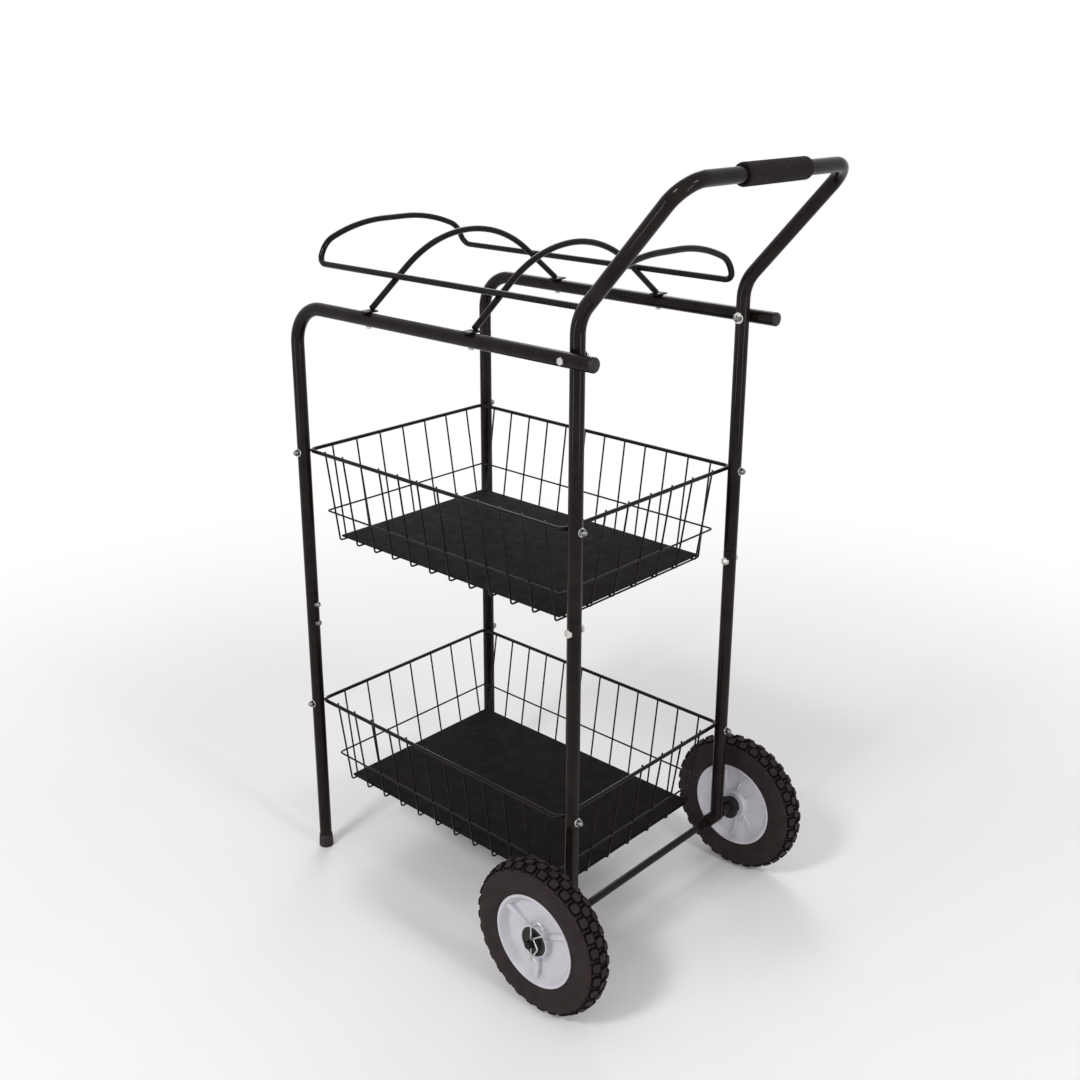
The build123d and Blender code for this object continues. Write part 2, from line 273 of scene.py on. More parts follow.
def makeFinish(name, look):
    finish, nodes, links, shader, place = newFinish(name)
    patches = grain(nodes, links, place, look["patchScale"], mottle["detail"], mottle["roughness"])
    colour = ramped(nodes, links, patches,
                    (mottle["darkBelow"], look["dark"]), (mottle["lightAbove"], look["light"]))
    links.new(colour, shader.inputs["Base Color"])
    sheen = ramped(nodes, links, grain(nodes, links, place, look["sheenScale"]),
                   (mottle["smoothBelow"], look["rough"][0]), (mottle["roughAbove"], look["rough"][1]))
    links.new(sheen, shader.inputs["Roughness"])
    bumped(nodes, links, shader, grain(nodes, links, place, look["grainScale"], mottle["bumpDetail"]),
           look["grainStrength"], look["grainDepth"])
    shader.inputs["Metallic"].default_value = look.get("metal", 0.0)
    shader.inputs["Specular IOR Level"].default_value = look.get("specular", 0.5)
    return finish


def stepped(nodes, links, kind, value, other):
    step = nodes.new("ShaderNodeMath")
    step.operation = kind
    for socket, given in zip(step.inputs, (value, other)):
        if isinstance(given, (int, float)):
            socket.default_value = given
        else:
            links.new(given, socket)
    return step.outputs[0]


looks = {
    "black_paint": {"dark": (0.0068, 0.0047, 0.0042), "light": (0.0125, 0.0092, 0.0084), "patchScale": 30,
                    "rough": (0.09, 0.16), "sheenScale": 60, "grainScale": 700, "grainStrength": 0.06,
                    "grainDepth": 0.0003, "specular": 0.11},
    "foam": {"dark": (0.0120, 0.0092, 0.0093), "light": (0.0195, 0.0152, 0.0154), "patchScale": 90,
             "rough": (0.78, 0.92), "sheenScale": 200, "grainScale": 1500, "grainStrength": 0.45,
             "grainDepth": 0.0006, "specular": 0.12},
    "foot_rubber": {"dark": (0.024, 0.0157, 0.0160), "light": (0.037, 0.0258, 0.0264), "patchScale": 70,
                    "rough": (0.6, 0.8), "sheenScale": 120, "grainScale": 1200, "grainStrength": 0.2,
                    "grainDepth": 0.0003, "specular": 0.2},
    "black_plastic": {"dark": (0.014, 0.0115, 0.0120), "light": (0.026, 0.0215, 0.0225), "patchScale": 60,
                      "rough": (0.36, 0.5), "sheenScale": 150, "grainScale": 900, "grainStrength": 0.1,
                      "grainDepth": 0.0003, "specular": 0.2},
    "white_plastic": {"dark": (0.495, 0.483, 0.525), "light": (0.57, 0.557, 0.602), "patchScale": 22,
                      "rough": (0.34, 0.48), "sheenScale": 80, "grainScale": 900, "grainStrength": 0.06,
                      "grainDepth": 0.0003, "specular": 0.3},
    "tyre": {"dark": (0.0185, 0.0122, 0.0124), "light": (0.0300, 0.0205, 0.0206), "patchScale": 45,
             "rough": (0.62, 0.82), "sheenScale": 90, "grainScale": 1100, "grainStrength": 0.25,
             "grainDepth": 0.0004, "specular": 0.13},
    # painted shade: a near-black copy of the tyre rubber for the knobs' sides and the grooves around them,
    # where shade falls
    "paintedGrooveShade": {"dark": (0.0058, 0.0041, 0.0040), "light": (0.0105, 0.0077, 0.0075), "patchScale": 60,
                    "rough": (0.7, 0.9), "sheenScale": 90, "grainScale": 1100, "grainStrength": 0.2,
                    "grainDepth": 0.0003, "specular": 0.05},
    "liner": {"dark": (0.0080, 0.0068, 0.0066), "light": (0.0125, 0.0109, 0.0106), "patchScale": 38,
              "rough": (0.55, 0.7), "sheenScale": 70, "grainScale": 500, "grainStrength": 0.18,
              "grainDepth": 0.0005, "specular": 0.02},
    "zinc": {"dark": (0.42, 0.42, 0.41), "light": (0.68, 0.67, 0.65), "patchScale": 160,
             "rough": (0.24, 0.42), "sheenScale": 300, "grainScale": 1400, "grainStrength": 0.12,
             "grainDepth": 0.0002, "metal": 1.0},
    # painted reflection: a darker copy of the zinc for the cap nuts, painting in the dark reflections they
    # show
    "nutPaintedReflection": {"dark": (0.10, 0.10, 0.10), "light": (0.30, 0.30, 0.29), "patchScale": 240,
                 "rough": (0.16, 0.30), "sheenScale": 300, "grainScale": 1400, "grainStrength": 0.10,
                 "grainDepth": 0.0002, "metal": 1.0},
}
finishes = {slotName: makeFinish(slotName, look) for slotName, look in looks.items()}
print("finishes:", len(finishes))

# frame tubes
tubes = {
    "jointZ": 0.640, "legJointZ": 0.520, "endEase": 0.0014, "railOverhang": 0.048, "sideBend": 0.065,
    "hoopBendZ": 1.0865, "hoopBend": 0.065, "handleZ": 1.2785, "handleCorner": 0.042,
    "capFloor": 0.004, "stubReach": 0.030, "mitreSpare": 1.2,
}


def frameTube(name, route, bends=()):
    tube = bentBar(name, route, bends, cart["tubeR"], cart["tubeFacets"], bendSteps=14)
    return softened(tube, tubes["endEase"], angle=60)


x, z = cart["uprightX"], tubes["jointZ"]
halfHoop = [(x, z), (x, tubes["hoopBendZ"]), (cart["handleX"], tubes["handleZ"])]
hoopRoute = [(a, -cart["uprightY"], b) for a, b in halfHoop]
hoopRoute += [(a, cart["uprightY"], b) for a, b in halfHoop[::-1]]
hoopBends = [tubes["hoopBend"], tubes["handleCorner"], tubes["handleCorner"], tubes["hoopBend"]]
hoop = frameTube("handleHoop", hoopRoute, hoopBends)
dressed(hoop, "black_paint", "frame", "handle_hoop")


def cutAtMitre(piece, corner, keepToward):
    editAll(piece)
    bpy.ops.mesh.bisect(plane_co=corner, plane_no=keepToward, clear_inner=True)
    return backToObject()


def lowerUpright(name, s):
    corner = Vector((cart["uprightX"], s * cart["uprightY"], cart["axleZ"]))
    up, inward = Vector((0, 0, 1)), Vector((0, -s, 0))
    past = tubes["mitreSpare"] * cart["tubeR"]
    top = Vector((corner.x, corner.y, tubes["jointZ"]))
    post = frameTube(name, [top, corner - up * past])
    stub = frameTube(name, [corner + inward * tubes["stubReach"], corner - inward * past])
    elbow = joined(name, [cutAtMitre(post, corner, up - inward), cutAtMitre(stub, corner, inward - up)])
    editAll(elbow)
    bpy.ops.mesh.remove_doubles(threshold=1e-5)
    return smoothed(backToObject())


for side, s in sides.items():
    railY = s * cart["railY"]
    sideRoute = [(cart["legX"], railY, tubes["legJointZ"]), (cart["legX"], railY, cart["railZ"]),
                 (cart["uprightX"] + tubes["railOverhang"], railY, cart["railZ"])]
    sideTube = frameTube(side + "SideTube", sideRoute, [tubes["sideBend"]])
    dressed(sideTube, "black_paint", "frame", side + "_side_tube")
    leg = frameTube(side + "LowerLeg", [(cart["legX"], railY, tubes["legJointZ"]),
                                        (cart["legX"], railY, tubes["capFloor"])])
    dressed(leg, "black_paint", "frame", side + "_lower_leg")
    dressed(lowerUpright(side + "LowerUpright", s), "black_paint", "frame", side + "_lower_upright")
print("frame tubes done")

# foam grip, foot caps and rail plugs
grip = {"outerR": 0.016, "half": 0.075, "endRound": 0.0024}
gripProfile = [(cart["tubeR"], -grip["half"]), (grip["outerR"], -grip["half"]),
               (grip["outerR"], grip["half"]), (cart["tubeR"], grip["half"])]
foamGrip = turnedPiece("foamGrip", gripProfile, facets=64, closed=True)
softened(foamGrip, grip["endRound"], segments=4)
moved(foamGrip, spotAt((cart["handleX"], 0, tubes["handleZ"]), (0, 1, 0)))
dressed(foamGrip, "foam", "frame", "foam_grip")

cap = {"baseR": 0.0133, "topR": 0.0120, "edge": 0.002, "edgeShare": 0.3, "height": 0.025, "ease": 0.0007}
edgeStep = cap["edgeShare"] * cap["edge"]
capProfile = [(cap["baseR"] - cap["edge"], 0), (cap["baseR"] - edgeStep, edgeStep),
              (cap["baseR"], cap["edge"]), (cap["topR"], cap["height"]), (cart["tubeR"], cap["height"])]
plug = {"rim": 0.001, "crown": 0.004, "stemR": 0.0095, "depth": 0.014,
        "domeSteps": ((0.93, 0.48), (0.80, 0.75), (0.60, 0.90), (0.35, 0.98), (0.12, 1.0))}
plugProfile = [(plug["stemR"], -plug["depth"]), (plug["stemR"], 0),
               (cart["tubeR"], 0), (cart["tubeR"], plug["rim"])]
plugProfile += [(share * cart["tubeR"], plug["rim"] + rise * (plug["crown"] - plug["rim"]))
                for share, rise in plug["domeSteps"]]
for side, s in sides.items():
    footCap = softened(turnedPiece(side + "FootCap", capProfile, facets=40), cap["ease"])
    moved(footCap, Matrix.Translation((cart["legX"], s * cart["railY"], 0)))
    dressed(footCap, "foot_rubber", "frame", side + "_foot_cap")
    railPlug = smoothed(turnedPiece(side + "RailPlug", plugProfile, facets=40), angle=50)
    railEnd = (cart["uprightX"] + tubes["railOverhang"], s * cart["railY"], cart["railZ"])
    moved(railPlug, spotAt(railEnd, (1, 0, 0)))
    dressed(railPlug, "black_plastic", "frame", side + "_rail_plug")
print("grip, caps and plugs done")

# wheels, with local Z along the axle and pointing outwards
wheel = {"halfSpan": 0.266, "facets": 96}
hub = {
    "lipR": 0.0775, "half": 0.0205, "lipT": 0.003, "lipW": 0.004, "barrelR": 0.073, "ease": 0.0013,
    "boreR": 0.024, "neckBoreR": 0.0154, "neckZ": -0.0160, "dishR": 0.064, "dishZ": 0.006,
    "backR": 0.066, "backZ": -0.012, "bossR": 0.028, "bossDraft": 0.0015, "bossStep": 0.001,
    "ribHalf": 0.005, "ribInner": (0.026, 0.0098), "ribOuter": (0.0715, 0.016), "ribSunk": 0.003,
    "ribTurns": (30, 150, 270), "ribRound": 0.0034,
    "swirls": 9, "swirlR": 0.0022, "swirlLift": 0.0002, "swirlBend": 0.045,
    "swirlRoute": ((0.0275, 0.0), (0.047, 0.0), (0.0635, 0.0145)),
}
# half of the tyre's section, from the bead to the tread, as (radius, distance from the middle)
tyre = {
    "bead": [(0.0776, 0.0176), (0.0785, 0.0204), (0.0815, 0.0210), (0.0830, 0.0206), (0.0880, 0.0214),
             (0.0940, 0.0222)],
    "wall": [(0.1010, 0.0226), (0.1080, 0.0224), (0.1132, 0.0216), (0.1170, 0.0202)],
    "crown": [(0.1196, 0.0176), (0.1226, 0.0116), (0.1240, 0.0045)],
}
# each row is (distance from the middle, radius of the knobs' tops, lean in degrees)
tread = {
    "perRow": 32, "rows": [(0.0, 0.1270, 0.0), (0.0130, 0.1244, 23.0), (-0.0130, 0.1244, -23.0)],
    "length": 0.0150, "width": 0.0126, "corner": 0.0030, "draft": 0.92, "edge": 0.0008, "edgeDraft": 0.92,
    "moat": 0.0018, "moatEnds": 0.0036, "moatDepth": 0.0056, "rooted": 0.001, "topFacing": 0.3,
    "slot": 0.0024, "slotReach": 0.016, "slotRound": 0.0006,
}


def wheelSpot(s):
    across = Matrix(((1, 0, 0), (0, 0, s), (0, -s, 0))).to_4x4()
    return Matrix.Translation((cart["uprightX"], s * wheel["halfSpan"], cart["axleZ"])) @ across


def hubBody():
    lip, half = hub["lipR"], hub["half"]
    rimIn, lipEdge = lip - hub["lipW"], half - hub["lipT"]
    bossTopR, bossTop = hub["bossR"] - hub["bossDraft"], half - hub["bossStep"]
    profile = [
        (hub["boreR"], bossTop), (bossTopR, bossTop), (hub["bossR"], hub["dishZ"]),
        (hub["dishR"], hub["dishZ"]), (rimIn, half), (lip, half), (lip, lipEdge), (hub["barrelR"], lipEdge),
        (hub["barrelR"], -lipEdge), (lip, -lipEdge), (lip, -half), (rimIn, -half),
        (hub["backR"], hub["backZ"]), (hub["bossR"], hub["backZ"]), (bossTopR, -bossTop),
        (hub["neckBoreR"], -bossTop), (hub["neckBoreR"], hub["neckZ"]), (hub["boreR"], hub["neckZ"]),
    ]
    body = turnedPiece("hubBody", profile, wheel["facets"], closed=True)
    return softened(body, hub["ease"], segments=3, angle=25)


# a bar whose crest climbs from the boss to the rim
def hubRib():
    (innerR, innerZ), (outerR, outerZ) = hub["ribInner"], hub["ribOuter"]
    low = hub["dishZ"] - hub["ribSunk"]
    middleX, middleZ = (innerR + outerR) / 2, (low + outerZ) / 2
    rib = plainBox("hubRib", (outerR - innerR, 2 * hub["ribHalf"], outerZ - low), (middleX, 0, middleZ))
    pickVertices(rib, lambda co: co.x < middleX and co.z > middleZ)
    bpy.ops.transform.translate(value=(0, 0, innerZ - outerZ))
    bpy.ops.mesh.select_all(action="SELECT")
    bpy.ops.mesh.bevel(offset=hub["ribRound"], segments=4, affect="EDGES")
    return smoothed(backToObject(), angle=60)


def hubSwirl():
    z = hub["backZ"] + hub["swirlLift"]
    route = [(x, y, z) for x, y in hub["swirlRoute"]]
    return bentBar("hubSwirl", route, [hub["swirlBend"]], hub["swirlR"], facets=10)


def wheelHub(name):
    parts = [hubBody()]
    rib, swirl = hubRib(), hubSwirl()
    parts += [copied(rib, Matrix.Rotation(math.radians(turn), 4, "Z")) for turn in hub["ribTurns"]]
    step = 2 * math.pi / hub["swirls"]
    parts += [copied(swirl, Matrix.Rotation(k * step, 4, "Z")) for k in range(hub["swirls"])]
    bpy.data.objects.remove(rib)
    bpy.data.objects.remove(swirl)
    return cleaned(joined(name, parts))


def tyreCarcass():
    face = tyre["bead"] + tyre["wall"] + tyre["crown"]
    profile = face + [(r, -z) for r, z in face[::-1]]
    carcass = smoothed(turnedPiece("tyreCarcass", profile, wheel["facets"], closed=True), angle=50)
    carcass.data.materials.append(finishes["tyre"])
    return carcass


# a knob with its top at X = 0, narrower at the top, with painted shade in black on its sides
def treadKnob():
    depth = tread["moatDepth"] + tread["rooted"] - tread["edge"]
    size = (depth, tread["length"], tread["width"])
    knob = roundedBlock("treadKnob", size, axis=0, corner=tread["corner"])
    pickVertices(knob, lambda co: co.x > 0)
    bpy.ops.transform.resize(value=(1, tread["draft"], tread["draft"]))
    bpy.ops.mesh.extrude_region_move(TRANSFORM_OT_translate={"value": (tread["edge"], 0, 0)})
    bpy.ops.transform.resize(value=(1, tread["edgeDraft"], tread["edgeDraft"]))
    backToObject()
    knob.data.materials.append(finishes["tyre"])
    knob.data.materials.append(finishes["paintedGrooveShade"])
    # faces that don't face outwards take the painted shade colour
    for face in knob.data.polygons:
        face.material_index = 0 if face.normal.x > tread["topFacing"] else 1
    return moved(smoothed(knob, angle=50), Matrix.Translation((-depth / 2 - tread["edge"], 0, 0)))


# the space cut around a knob, its floor at the foot of the knob; the faces it cuts carry painted shade in
# black
def treadMoat():
    height = 2 * tread["moatDepth"]
    size = (height, tread["length"] + 2 * tread["moatEnds"], tread["width"] + 2 * tread["moat"])
    space = roundedBlock("treadMoat", size, axis=0, corner=tread["corner"] + tread["moat"])
    space.data.materials.append(finishes["paintedGrooveShade"])
    return space


# a slot past each end of an outer knob that runs out at the shoulder
def shoulderSlots():
    inside = tread["width"] / 2
    size = (2 * tread["moatDepth"], tread["slot"], tread["slotReach"] - inside)
    slot = roundedBlock("shoulderSlot", size, axis=0, corner=tread["slotRound"])
    slot.data.materials.append(finishes["tyre"])
    aside, out = (tread["length"] + tread["moatEnds"]) / 2, (tread["slotReach"] + inside) / 2
    pair = [copied(slot, Matrix.Translation((0, end * aside, out))) for end in (-1, 1)]
    bpy.data.objects.remove(slot)
    return joined("shoulderSlots", pair)


def wheelTyre(name):
    carcass, knob, moat, slots = tyreCarcass(), treadKnob(), treadMoat(), shoulderSlots()
    pitch = 2 * math.pi / tread["perRow"]
    knobs, moats = [], []
    for across, topR, tilt in tread["rows"]:
        seat = Matrix.Translation((topR, 0, across)) @ Matrix.Rotation(math.radians(-tilt), 4, "Y")
        if across < 0:
            seat = seat @ Matrix.Rotation(math.pi, 4, "X")  # its outer side faces the other wall
        for n in range(tread["perRow"]):
            spot = Matrix.Rotation((n + (0.5 if across else 0.0)) * pitch, 4, "Z") @ seat
            knobs.append(copied(knob, spot))
            moats.append(copied(moat, spot))
            if across:
                moats.append(copied(slots, spot))
    for pattern in (knob, moat, slots):
        bpy.data.objects.remove(pattern)
    spaces = joined("treadMoats", moats)
    pick(carcass)
    cut = carcass.modifiers.new("moats", "BOOLEAN")
    cut.operation, cut.solver, cut.object = "DIFFERENCE", "EXACT", spaces
    # the cut faces take the moats' painted shade colour
    cut.use_self, cut.material_mode = True, "TRANSFER"
    bpy.ops.object.modifier_apply(modifier=cut.name)
    bpy.data.objects.remove(spaces)
    return cleaned(joined(name, [smoothed(carcass, angle=35)] + knobs))


bushing = {
    "outerR": 0.024, "half": 0.020, "boreR": 0.0065, "cupR": 0.0205, "cupDepth": 0.0012, "cupDraft": 0.0008,
    "shoulderZ": -0.0158, "sleeveR": 0.0100, "neckR": 0.0150, "flangeR": 0.0212, "flangeZ": -0.034,
    "flangeT": 0.0025, "ease": 0.0006,
}
bushFace = [(bushing["outerR"], bushing["half"]), (bushing["cupR"], bushing["half"]),
            (bushing["cupR"] - bushing["cupDraft"], bushing["half"] - bushing["cupDepth"]),
            (bushing["boreR"], bushing["half"] - bushing["cupDepth"])]
# its neck passes the hub's inner face and carries a flange over the axle spacer
flangeBack = bushing["flangeZ"] + bushing["flangeT"]
bushBack = [(bushing["boreR"], -bushing["half"]), (bushing["sleeveR"], -bushing["half"]),
            (bushing["sleeveR"], bushing["flangeZ"]), (bushing["flangeR"], bushing["flangeZ"]),
            (bushing["flangeR"], flangeBack), (bushing["neckR"], flangeBack),
            (bushing["neckR"], bushing["shoulderZ"]), (bushing["outerR"], bushing["shoulderZ"])]
hubBushing = softened(turnedPiece("HubBushing", bushFace + bushBack, closed=True), bushing["ease"])
wheelPieces = [
    (wheelHub("WheelHub"), "white_plastic", "_wheel_hub"),
    (wheelTyre("Tyre"), "tyre", "_tyre"),
    (hubBushing, "black_plastic", "_hub_bushing"),
]
for side, s in sides.items():
    for pattern, finish, nodeName in wheelPieces:
        wheelPiece = copied(pattern, wheelSpot(s))
        wheelPiece.name = side + pattern.name
        dressed(wheelPiece, finish, side + "_wheel", side + nodeName)
for pattern, finish, nodeName in wheelPieces:
    bpy.data.objects.remove(pattern)
print("wheels done")

# axle, spacers, washers and spring clips
axle = {
    "radius": 0.00635, "half": 0.300, "ease": 0.0011, "play": 0.0003,
    "spacer": (0.2095, 0.2456), "spacerR": 0.0095, "spacerEase": 0.0005,
    "washerR": 0.0135, "washerT": 0.0016, "washerY": 0.2864, "washerEase": 0.0003,
}
clip = {
    "wireR": 0.0015, "half": 0.2905, "ease": 0.0003,
    "route": [(0, -0.032), (0, 0.0445), (0.0255, 0.0445), (0.0255, 0.0265),
              (0.0040, 0.0100), (0.0140, -0.0050), (0.0030, -0.0225), (0.0155, -0.0295)],
    "bends": [0.0115, 0.0125, 0.006, 0.0030, 0.006, 0.0030],
}
axleEnds = [(cart["uprightX"], s * axle["half"], cart["axleZ"]) for s in (-1, 1)]
axleBar = bentBar("axle", axleEnds, (), axle["radius"], facets=32)
dressed(softened(axleBar, axle["ease"], segments=3, angle=60), "black_paint", "frame", "axle")


# a ring that slides over the axle or a bolt
def slidOn(name, boreR, outerR, start, length, ease, facets=36):
    profile = [(boreR, start), (outerR, start), (outerR, start + length), (boreR, start + length)]
    return softened(turnedPiece(name, profile, facets, closed=True), ease)


washers = []
axleBore = axle["radius"] + axle["play"]
for side, s in sides.items():
    start, end = axle["spacer"]
    spacer = slidOn(side + "AxleSpacer", axleBore, axle["spacerR"], 0, end - start, axle["spacerEase"])
    moved(spacer, spotAt((cart["uprightX"], s * start, cart["axleZ"]), (0, s, 0)))
    dressed(spacer, "black_plastic", "frame", side + "_axle_spacer")
    washer = slidOn("axleWasher", axleBore, axle["washerR"], 0, axle["washerT"], axle["washerEase"], 40)
    washers.append(moved(washer, spotAt((cart["uprightX"], s * axle["washerY"], cart["axleZ"]), (0, s, 0))))
    clipRoute = [(cart["uprightX"] + a, s * clip["half"], cart["axleZ"] + b) for a, b in clip["route"]]
    springClip = bentBar(side + "AxleClip", clipRoute, clip["bends"], clip["wireR"])
    dressed(softened(springClip, clip["ease"], angle=60), "zinc", "frame", side + "_axle_clip")
dressed(joined("axleWashers", washers), "black_plastic", "frame", "axle_washers")
print("axle done")

# wire baskets with their liners
basket = {
    "rims": {"lower": 0.303, "upper": 0.7795}, "middleX": -0.093025, "halfX": 0.291825, "halfY": 0.209,
    "rimR": 0.00325, "rimFacets": 16, "corner": 0.014, "depth": 0.163, "sideInset": 0.0235, "endInset": 0.026,
    "wireR": 0.0016, "wireFacets": 10, "wireBend": 0.005, "wireEase": 0.0004, "tip": 0.0005, "weld": 0.0003,
    "crossWires": 12, "crossPitch": 0.0461, "longWires": 7, "longPitch": 0.054,
    "bandDrop": 0.110, "bandCorner": 0.006,
}
liner = {"thick": 0.0025, "gap": 0.004, "corner": 0.003, "ease": 0.0007, "lift": 0.0002}


def uWire(name, halfTop, inset, depth, along):
    slope = inset / basket["depth"]
    tip = basket["rimR"] + basket["tip"]
    half = [(halfTop + slope * tip, tip), (halfTop - slope * depth, -depth)]
    route = [along(-a, b) for a, b in half] + [along(a, b) for a, b in half[::-1]]
    wire = bentBar(name, route, [basket["wireBend"]] * 2, basket["wireR"], basket["wireFacets"])
    return softened(wire, basket["wireEase"], segments=1, angle=60)


def wireRing(name, halfX, halfY, z, corner, radius, facets):
    corners = [(halfX, halfY, z), (-halfX, halfY, z), (-halfX, -halfY, z), (halfX, -halfY, z)]
    route = [(halfX, 0, z)] + corners + [(halfX, 0, z)]
    return bentBar(name, route, [corner] * 4, radius, facets, closed=True)


def wireBasket():
    inside = basket["rimR"] + basket["wireR"] - basket["weld"]
    topY, topX = basket["halfY"] - inside, basket["halfX"] - inside
    parts = [wireRing("basketRim", basket["halfX"], basket["halfY"], 0, basket["corner"],
                      basket["rimR"], basket["rimFacets"])]
    cross = uWire("crossWire", topY, basket["sideInset"], basket["depth"], lambda a, b: (0, a, b))
    for k in range(basket["crossWires"]):
        x = (k - (basket["crossWires"] - 1) / 2) * basket["crossPitch"]
        parts.append(copied(cross, Matrix.Translation((x, 0, 0))))
    step = 2 * basket["wireR"] - basket["weld"]
    long = uWire("longWire", topX, basket["endInset"], basket["depth"] - step, lambda a, b: (a, 0, b))
    for k in range(basket["longWires"]):
        y = (k - (basket["longWires"] - 1) / 2) * basket["longPitch"]
        parts.append(copied(long, Matrix.Translation((0, y, 0))))
    bpy.data.objects.remove(cross)
    bpy.data.objects.remove(long)
    share = basket["bandDrop"] / basket["depth"]
    bandX = topX - share * basket["endInset"] + step
    bandY = topY - share * basket["sideInset"] + step
    parts.append(wireRing("basketBand", bandX, bandY, -basket["bandDrop"], basket["bandCorner"],
                          basket["wireR"], basket["wireFacets"]))
    return joined("wireBasket", parts)


def linerSheet():
    inside = basket["rimR"] + basket["wireR"]
    halfX = basket["halfX"] - inside - basket["endInset"] - liner["gap"]
    halfY = basket["halfY"] - inside - basket["sideInset"] - liner["gap"]
    size = (2 * halfX, 2 * halfY, liner["thick"])
    sheet = roundedBlock("linerSheet", size, axis=2, corner=liner["corner"], segments=6)
    return softened(sheet, liner["ease"], angle=60)


firstBasket, firstLiner = wireBasket(), linerSheet()
linerDrop = -basket["depth"] + 3 * basket["wireR"] + liner["thick"] / 2 + liner["lift"]
for level, rimZ in basket["rims"].items():
    wires = copied(firstBasket, Matrix.Translation((basket["middleX"], 0, rimZ)))
    wires.name = level + "Basket"
    dressed(wires, "black_paint", "frame", level + "_basket")
    sheet = copied(firstLiner, Matrix.Translation((basket["middleX"], 0, rimZ + linerDrop)))
    sheet.name = level + "BasketLiner"
    dressed(sheet, "liner", "frame", level + "_basket_liner")
bpy.data.objects.remove(firstBasket)
bpy.data.objects.remove(firstLiner)
print("baskets done")

# saddle rack: a rod frame with an arch at each end and two ribs that stand on the rails
rack = {
    "rodR": 0.005, "rodFacets": 16, "armY": 0.167, "armZ": 1.094,
    "shoulder": (0.152, 1.128), "crown": (0.080, 1.156), "bends": [0.016, 0.044, 0.300],
    "ribSetback": 0.185, "apexZ": 1.2108, "crownBend": 0.230, "footY": 0.213,
    "footT": 0.003, "footHalf": 0.009, "footReach": 0.013, "footEdge": 0.0009,
}
ribPlaces = (cart["uprightX"] - rack["ribSetback"], cart["legX"] + rack["ribSetback"])


def saddleRack():
    middleX = (cart["uprightX"] + cart["legX"]) / 2
    corners = [(rack["armY"], rack["armZ"]), rack["shoulder"], rack["crown"]]
    route = [(middleX, -rack["armY"], rack["armZ"])]
    for endX, s in ((cart["uprightX"], 1), (cart["legX"], -1)):
        route += [(endX, -s * y, z) for y, z in corners] + [(endX, s * y, z) for y, z in corners[::-1]]
    route.append(route[0])
    bends = 2 * (rack["bends"] + rack["bends"][::-1])
    parts = [bentBar("rackFrame", route, bends, rack["rodR"], rack["rodFacets"], closed=True, bendSteps=10)]
    railTop = cart["railZ"] + cart["tubeR"]
    footZ = railTop + rack["rodR"]
    footSize = (2 * rack["footHalf"], 2 * rack["footReach"], rack["footT"])
    for x in ribPlaces:
        ribRoute = [(x, -rack["footY"], footZ), (x, 0, rack["apexZ"]), (x, rack["footY"], footZ)]
        rib = bentBar("rackRib", ribRoute, [rack["crownBend"]], rack["rodR"], rack["rodFacets"], bendSteps=24)
        parts.append(rib)
        for s in (-1, 1):
            place = (x, s * cart["railY"], railTop + rack["footT"] / 2)
            parts.append(block("rackFoot", footSize, place, rack["footEdge"]))
    return joined("saddleRack", parts)


dressed(saddleRack(), "black_paint", "frame", "saddle_rack")
print("saddle rack done")

# bolts, cap nuts and washers, with local Z from the head into the work
bolt = {
    "shankR": 0.003, "shankShort": 0.001, "shankFacets": 20,
    "headH": 0.0042, "headEase": 0.0006, "nutH": 0.005, "nutEase": 0.0004,
    "across": {"rail": 0.010, "upright": 0.0124, "leg": 0.010, "basket": 0.010},
    "domeH": {"rail": 0.004, "upright": 0.002, "leg": 0.004, "basket": 0.004},
    "domeTurns": (0, 0.3, 0.6, 0.9, 1.2, 1.42), "domeShare": 0.44, "domeSunk": 0.0005, "domeFacets": 28,
    "uprightZ": 0.622, "legZ": (0.499, 0.4635), "rodSeat": 0.001, "cornerSeat": 0.006,
    "washerR": {"rail": 0.009, "basket": 0.007},
    "washerT": 0.0014, "washerPlay": 0.0005, "washerEase": 0.0003,
}
screw = {"shankR": 0.0025, "across": 0.008, "headH": 0.003, "ease": 0.0005, "overlap": 0.001}


def hexPiece(name, across, start, end, ease):
    corner = across / 2 / math.cos(math.pi / 6)
    return softened(turnedPiece(name, [(corner, start), (corner, end)], facets=6), ease)


def studPiece(name, grip):
    length = grip + bolt["nutH"] - bolt["shankShort"]
    return turnedPiece(name, [(bolt["shankR"], 0), (bolt["shankR"], length)], bolt["shankFacets"])


def domeRings(radius, start, height):
    crest = math.sin(bolt["domeTurns"][-1])
    return [(radius * math.cos(turn), start + height * math.sin(turn) / crest) for turn in bolt["domeTurns"]]


def boltPiece(name, grip, kind):
    if kind == "leg":  # a round head, hardly seen beside the leg
        rings = domeRings(bolt["across"][kind] / 2, 0, -bolt["headH"])
        head = turnedPiece(name, rings, bolt["domeFacets"])
    else:
        head = hexPiece(name, bolt["across"][kind], -bolt["headH"], 0, bolt["headEase"])
    return joined(name, [head, studPiece(name, grip)])


def capNut(name, start, kind):
    across, top = bolt["across"][kind], start + bolt["nutH"]
    base = hexPiece(name, across, start, top, bolt["nutEase"])
    domeR = bolt["domeShare"] * across
    rings = [(domeR, top - bolt["domeSunk"])] + domeRings(domeR, top, bolt["domeH"][kind])
    return joined(name, [base, turnedPiece(name, rings, bolt["domeFacets"])])


